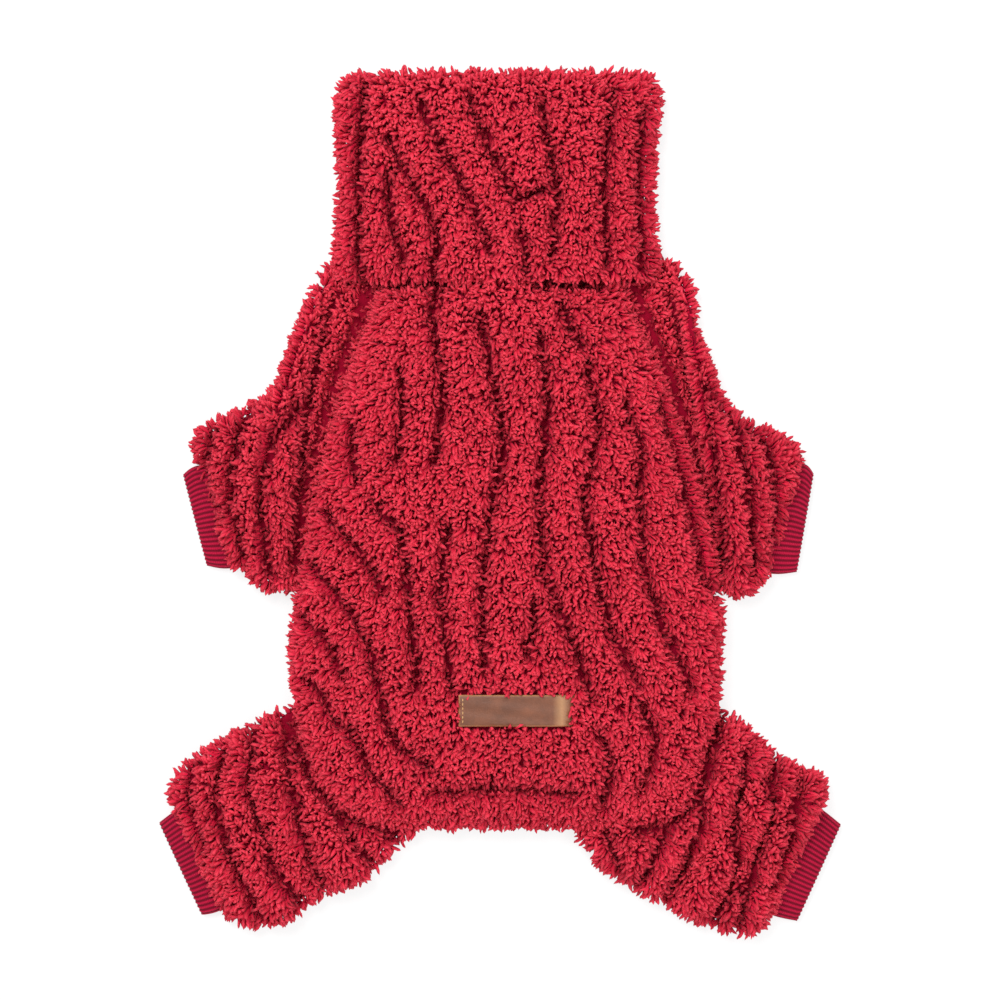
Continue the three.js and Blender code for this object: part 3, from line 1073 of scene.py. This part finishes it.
def make_body(kit):
    """The back panel, wrapped round both sides, and the belly panel under it."""
    points, faces, _, _, belly = body_surface(CLOTH_STEP, BACKING_DROP)
    back_cloth = used_only(points, faces[~belly], {})
    belly_cloth = used_only(points, faces[belly], {})
    points, faces, guides, middles, belly = body_surface(BED_STEP)
    front = middles[:, 1] > FRONT_ZONE_END
    beds = {
        "back_front": used_only(points, faces[~belly & front], guides),
        "back_rear": used_only(points, faces[~belly & ~front], guides),
    }
    plush_piece("back", "back_panel", back_cloth, beds, kit)
    beds = {"belly": used_only(points, faces[belly], guides)}
    plush_piece("belly", "belly_panel", belly_cloth, beds, kit)


def rib_count(widths, pitch):
    """Whole ribs round a cuff of about the given pitch."""
    return int(round(2 * (widths.mean() + 4) / pitch))


def cuff_grid(rings, ribs, relief):
    """A cuff's points, ribbed and thinned at its edge, its normals and its crests."""
    count = ribs * POINTS_PER_RIB
    grid = []
    for i, (ring, width) in enumerate(zip(rings, ring_widths(rings))):
        from_rim = (len(rings) - 1 - i) / RIM_RINGS
        rim = 1 - RIM_THINNING * max(0, 1 - from_rim) ** 2
        low = CUFF_INSET + ring[4] * (1 - rim) / 2
        loop = profile(width / 2 - CUFF_INSET, ring[4] * rim, low, CUFF_ROUND, CUFF_CROWN, count)
        grid.append(placed(ring, loop))
    grid = np.array(grid)
    normals = grid_normals(grid)
    phase = 2 * math.pi * np.arange(count) * ribs / count
    crest = np.tile(0.5 + 0.5 * np.cos(phase), (len(rings), 1))
    grid += normals * ((crest - 1) * relief)[..., None]
    grid[..., 2] = np.maximum(grid[..., 2], 0.1)
    return grid, normals, crest


def make_cuffs():
    """Four rib-knit cuffs with real ribs."""
    settings = bpy.context.scene.pajama_rib
    material = rib_material(settings)
    for name in CUFFS:
        rings = resampled(RINGS[name], CUFF_STEP)
        ribs = rib_count(ring_widths(rings), settings.pitch / MM)
        grid, normals, crest = cuff_grid(rings, ribs, settings.relief / MM)
        points = grid.reshape(-1, 3)
        faces = turned_out(points, grid_faces(*grid.shape[:2]), normals.reshape(-1, 3))
        cuff = mesh_object(f"{name}_knit", points, faces, {"crest": crest.ravel()})
        add_knit_uv(cuff, grid.shape[1])
        cuff.data.materials.append(material)
        thicken(cuff, CUFF_WALL)
        belongs(cuff, "rib_knit", name)


def add_knit_uv(cuff, count):
    """A map that counts ribs round the cuff and millimetres along it."""
    uv = cuff.data.uv_layers.new(name="knit").data
    index = np.zeros(len(cuff.data.loops), int)
    cuff.data.loops.foreach_get("vertex_index", index)
    ring, place = index // count, index % count
    flat = np.column_stack([place / POINTS_PER_RIB, ring * CUFF_STEP]).astype(np.float32)
    uv.foreach_set("uv", flat.ravel())


def patch_height(x, y):
    """The patch lies on the pile and dips under it at its right end."""
    dip = np.clip((x - (LABEL["right"] - BURIED_END)) / BURIED_END, 0, 1)
    wave = 0.25 * np.sin(x * 0.11) + 0.12 * np.sin(y * 0.8 + x * 0.1)
    return PATCH_TOP + wave - BURIED_DROP * dip**2


def make_patch():
    """The bare leather patch with its row of stitches."""
    settings = bpy.context.scene.pajama_patch
    columns, rows = PATCH_CELLS
    x = np.linspace(LABEL["left"], LABEL["right"], columns + 1)
    y = np.linspace(LABEL["rear"], LABEL["front"], rows + 1)
    gx, gy = np.meshgrid(x, y, indexing="ij")
    edge = np.minimum.reduce([gx - x[0], x[-1] - gx, gy - y[0], y[-1] - gy])
    round_off = 0.45 * np.clip(1 - edge, 0, 1) ** 2
    top = np.stack([gx, gy, patch_height(gx, gy) - round_off], axis=-1).reshape(-1, 3)
    i, j = np.meshgrid(np.arange(columns), np.arange(rows), indexing="ij")
    near = i * (rows + 1) + j
    far = near + rows + 1
    faces = np.stack([near, far, far + 1, near + 1], axis=-1).reshape(-1, 4)
    worn = np.clip(1 - edge / 0.9, 0, 1) * 0.85
    # Painted highlight: a pale band across the bend where the right end dips into the pile.
    bend = np.clip(1 - np.abs(gx - (LABEL["right"] - 8)) / 5, 0, 1) * 0.55
    patch = mesh_object("patch_leather", top, faces, {"edge": np.maximum(worn, bend).ravel()})
    patch.data.materials.append(leather_material(settings))
    thicken(patch, settings.thickness / MM)
    belongs(patch, "label_leather", "label")
    stitches = make_stitches()
    stitches.data.materials.append(thread_material(settings))
    belongs(stitches, "label_leather")


def make_stitches():
    """Short stitches along the patch's left end, each a small rounded bar."""
    points = []
    faces = []
    sides = np.arange(STITCH_SIDES)
    angles = 2 * math.pi * sides / STITCH_SIDES
    x = LABEL["left"] + STITCH_INSET
    pitch = (LABEL["front"] - LABEL["rear"] - 3.0) / STITCHES
    for stitch in range(STITCHES):
        middle = LABEL["rear"] + 1.5 + pitch * (stitch + 0.5)
        first = len(points)
        for t in np.linspace(-1, 1, STITCH_RINGS):
            radius = STITCH_RADIUS * math.sqrt(max(1 - t**4, 0.02))
            y = middle + t * pitch * 0.36
            z = patch_height(x, y) + 0.22 - 0.3 * t * t
            points += [(x + radius * math.cos(a), y, z + radius * math.sin(a)) for a in angles]
        last = len(points) - STITCH_SIDES
        for ring in range(first, last, STITCH_SIDES):
            for k in sides:
                here = ring + k
                beside = ring + (k + 1) % STITCH_SIDES
                faces.append((here, here + STITCH_SIDES, beside + STITCH_SIDES, beside))
        faces.append(first + sides)
        faces.append(last + sides[::-1])
    return mesh_object("patch_stitches", np.array(points), faces)


# ---- stage -------------------------------------------------------------------------

def seen_rays(tree):
    """One for rays from the camera and from mirrors, nothing for the rest."""
    path = tree.nodes.new("ShaderNodeLightPath")
    return number_math(tree, "MAXIMUM", path.outputs["Is Camera Ray"],
                       path.outputs["Is Glossy Ray"])


def mixed_shader(tree, factor, first, second, output):
    """Two shaders mixed into a tree's output."""
    both = add_node(tree, "ShaderNodeMixShader", {"Fac": factor, 1: first, 2: second})
    wire(tree, both.outputs["Shader"], tree.nodes[output].inputs["Surface"])


def floor_material(settings):
    """Pale floor: nearly white to the camera, and still keeping a soft shadow."""
    material, tree, shader = new_material("pale_floor", {
        "Roughness": 0.9,
        "Base Color": (*settings.floor, 1),
        "Specular IOR Level": 0.0,
    })
    glow = add_node(tree, "ShaderNodeEmission", {"Color": (1, 1, 1, 1)})
    share = number_math(tree, "MULTIPLY", seen_rays(tree), settings.floor_glow)
    mixed_shader(tree, share, shader.outputs["BSDF"], glow.outputs["Emission"],
                 "Material Output")
    return material


def make_floor(settings):
    """The floor, which isn't part of the suit."""
    half = settings.floor_size / 2
    corners = [(-half, -half, 0), (half, -half, 0), (half, half, 0), (-half, half, 0)]
    floor = mesh_object("floor", np.array(corners) / MM, [(0, 1, 2, 3)])
    floor.data.materials.append(floor_material(settings))


def make_light(name, place, size, power):
    """A soft round light that points at the suit."""
    data = bpy.data.lights.new(name, "AREA")
    data.shape = "DISK"
    data.size = size
    data.energy = power
    light = bpy.data.objects.new(name, data)
    light.location = place
    way = -light.location
    light.rotation_euler = way.to_track_quat("-Z", "Y").to_euler()
    bpy.context.scene.collection.objects.link(light)


VIEW_CENTRE = (0.0, 0.00324, 0.018)  # what the camera looks straight down at


def make_camera(settings):
    """A camera straight above the suit, with the collar at the top of its frame."""
    data = bpy.data.cameras.new("camera")
    data.lens = settings.lens
    distance = settings.frame_width * settings.lens / data.sensor_width
    camera = bpy.data.objects.new("camera", data)
    x, y, z = VIEW_CENTRE
    camera.location = (x, y, z + distance)
    bpy.context.scene.collection.objects.link(camera)
    bpy.context.scene.camera = camera


def make_world(settings):
    """White to look at, and an even, weaker light on the suit."""
    world = bpy.data.worlds.new("studio")
    world.use_nodes = True
    tree = world.node_tree
    light = tree.nodes["Background"]
    feed(tree, light, {"Color": (1, 1, 1, 1), "Strength": settings.ambient})
    white = add_node(tree, "ShaderNodeBackground", {"Color": (1, 1, 1, 1)})
    mixed_shader(tree, seen_rays(tree), light.outputs["Background"],
                 white.outputs["Background"], "World Output")
    bpy.context.scene.world = world


# ---- the add-on --------------------------------------------------------------------

class PAJAMAS_OT_plush(bpy.types.Operator):
    """Make the plush panels and their pile"""

    bl_idname = "pajamas.plush"
    bl_label = "Plush Panels"

    def execute(self, context):
        make_plush()
        return {"FINISHED"}


class PAJAMAS_OT_cuffs(bpy.types.Operator):
    """Make the four rib-knit cuffs"""

    bl_idname = "pajamas.cuffs"
    bl_label = "Rib Cuffs"

    def execute(self, context):
        make_cuffs()
        return {"FINISHED"}


class PAJAMAS_OT_patch(bpy.types.Operator):
    """Make the leather patch and its stitches"""

    bl_idname = "pajamas.patch"
    bl_label = "Leather Patch"

    def execute(self, context):
        make_patch()
        return {"FINISHED"}


class PAJAMAS_OT_stage(bpy.types.Operator):
    """Make the floor, lights and camera"""

    bl_idname = "pajamas.stage"
    bl_label = "Stage"

    def execute(self, context):
        settings = context.scene.pajama_stage
        make_camera(settings)
        make_floor(settings)
        make_light("key", (-0.5, 0.7, 1.5), 0.9, settings.key_power)
        make_light("fill", (0.9, -0.4, 1.4), 1.2, settings.fill_power)
        make_world(settings)
        context.scene.view_settings.view_transform = "Standard"
        return {"FINISHED"}


class PAJAMAS_PT_panel(bpy.types.Panel):
    """Lists the steps that build the suit"""

    bl_label = "Plush Dog Pajamas"
    bl_space_type = "VIEW_3D"
    bl_region_type = "UI"
    bl_category = "Pajamas"

    def draw(self, context):
        for operator in OPERATORS:
            self.layout.operator(operator.bl_idname)
        for group in SETTINGS:
            settings = getattr(context.scene, group)
            for name in settings.bl_rna.properties.keys():
                if name not in ("rna_type", "name"):
                    self.layout.prop(settings, name)


OPERATORS = (PAJAMAS_OT_stage, PAJAMAS_OT_plush, PAJAMAS_OT_cuffs, PAJAMAS_OT_patch)
SETTINGS = {
    "pajama_plush": PlushSettings,
    "pajama_rib": RibSettings,
    "pajama_patch": PatchSettings,
    "pajama_stage": StageSettings,
}


def register():
    """Register the settings, the steps and the panel."""
    for name, group in SETTINGS.items():
        bpy.utils.register_class(group)
        setattr(bpy.types.Scene, name, bpy.props.PointerProperty(type=group))
    for operator in OPERATORS:
        bpy.utils.register_class(operator)
    bpy.utils.register_class(PAJAMAS_PT_panel)


def unregister():
    """Undo register()."""
    bpy.utils.unregister_class(PAJAMAS_PT_panel)
    for operator in reversed(OPERATORS):
        bpy.utils.unregister_class(operator)
    for name, group in SETTINGS.items():
        delattr(bpy.types.Scene, name)
        bpy.utils.unregister_class(group)


def main():
    """Build the suit."""
    register()
    bpy.ops.pajamas.stage()
    bpy.ops.pajamas.plush()
    bpy.ops.pajamas.cuffs()
    bpy.ops.pajamas.patch()


if __name__ == "__main__":
    main()
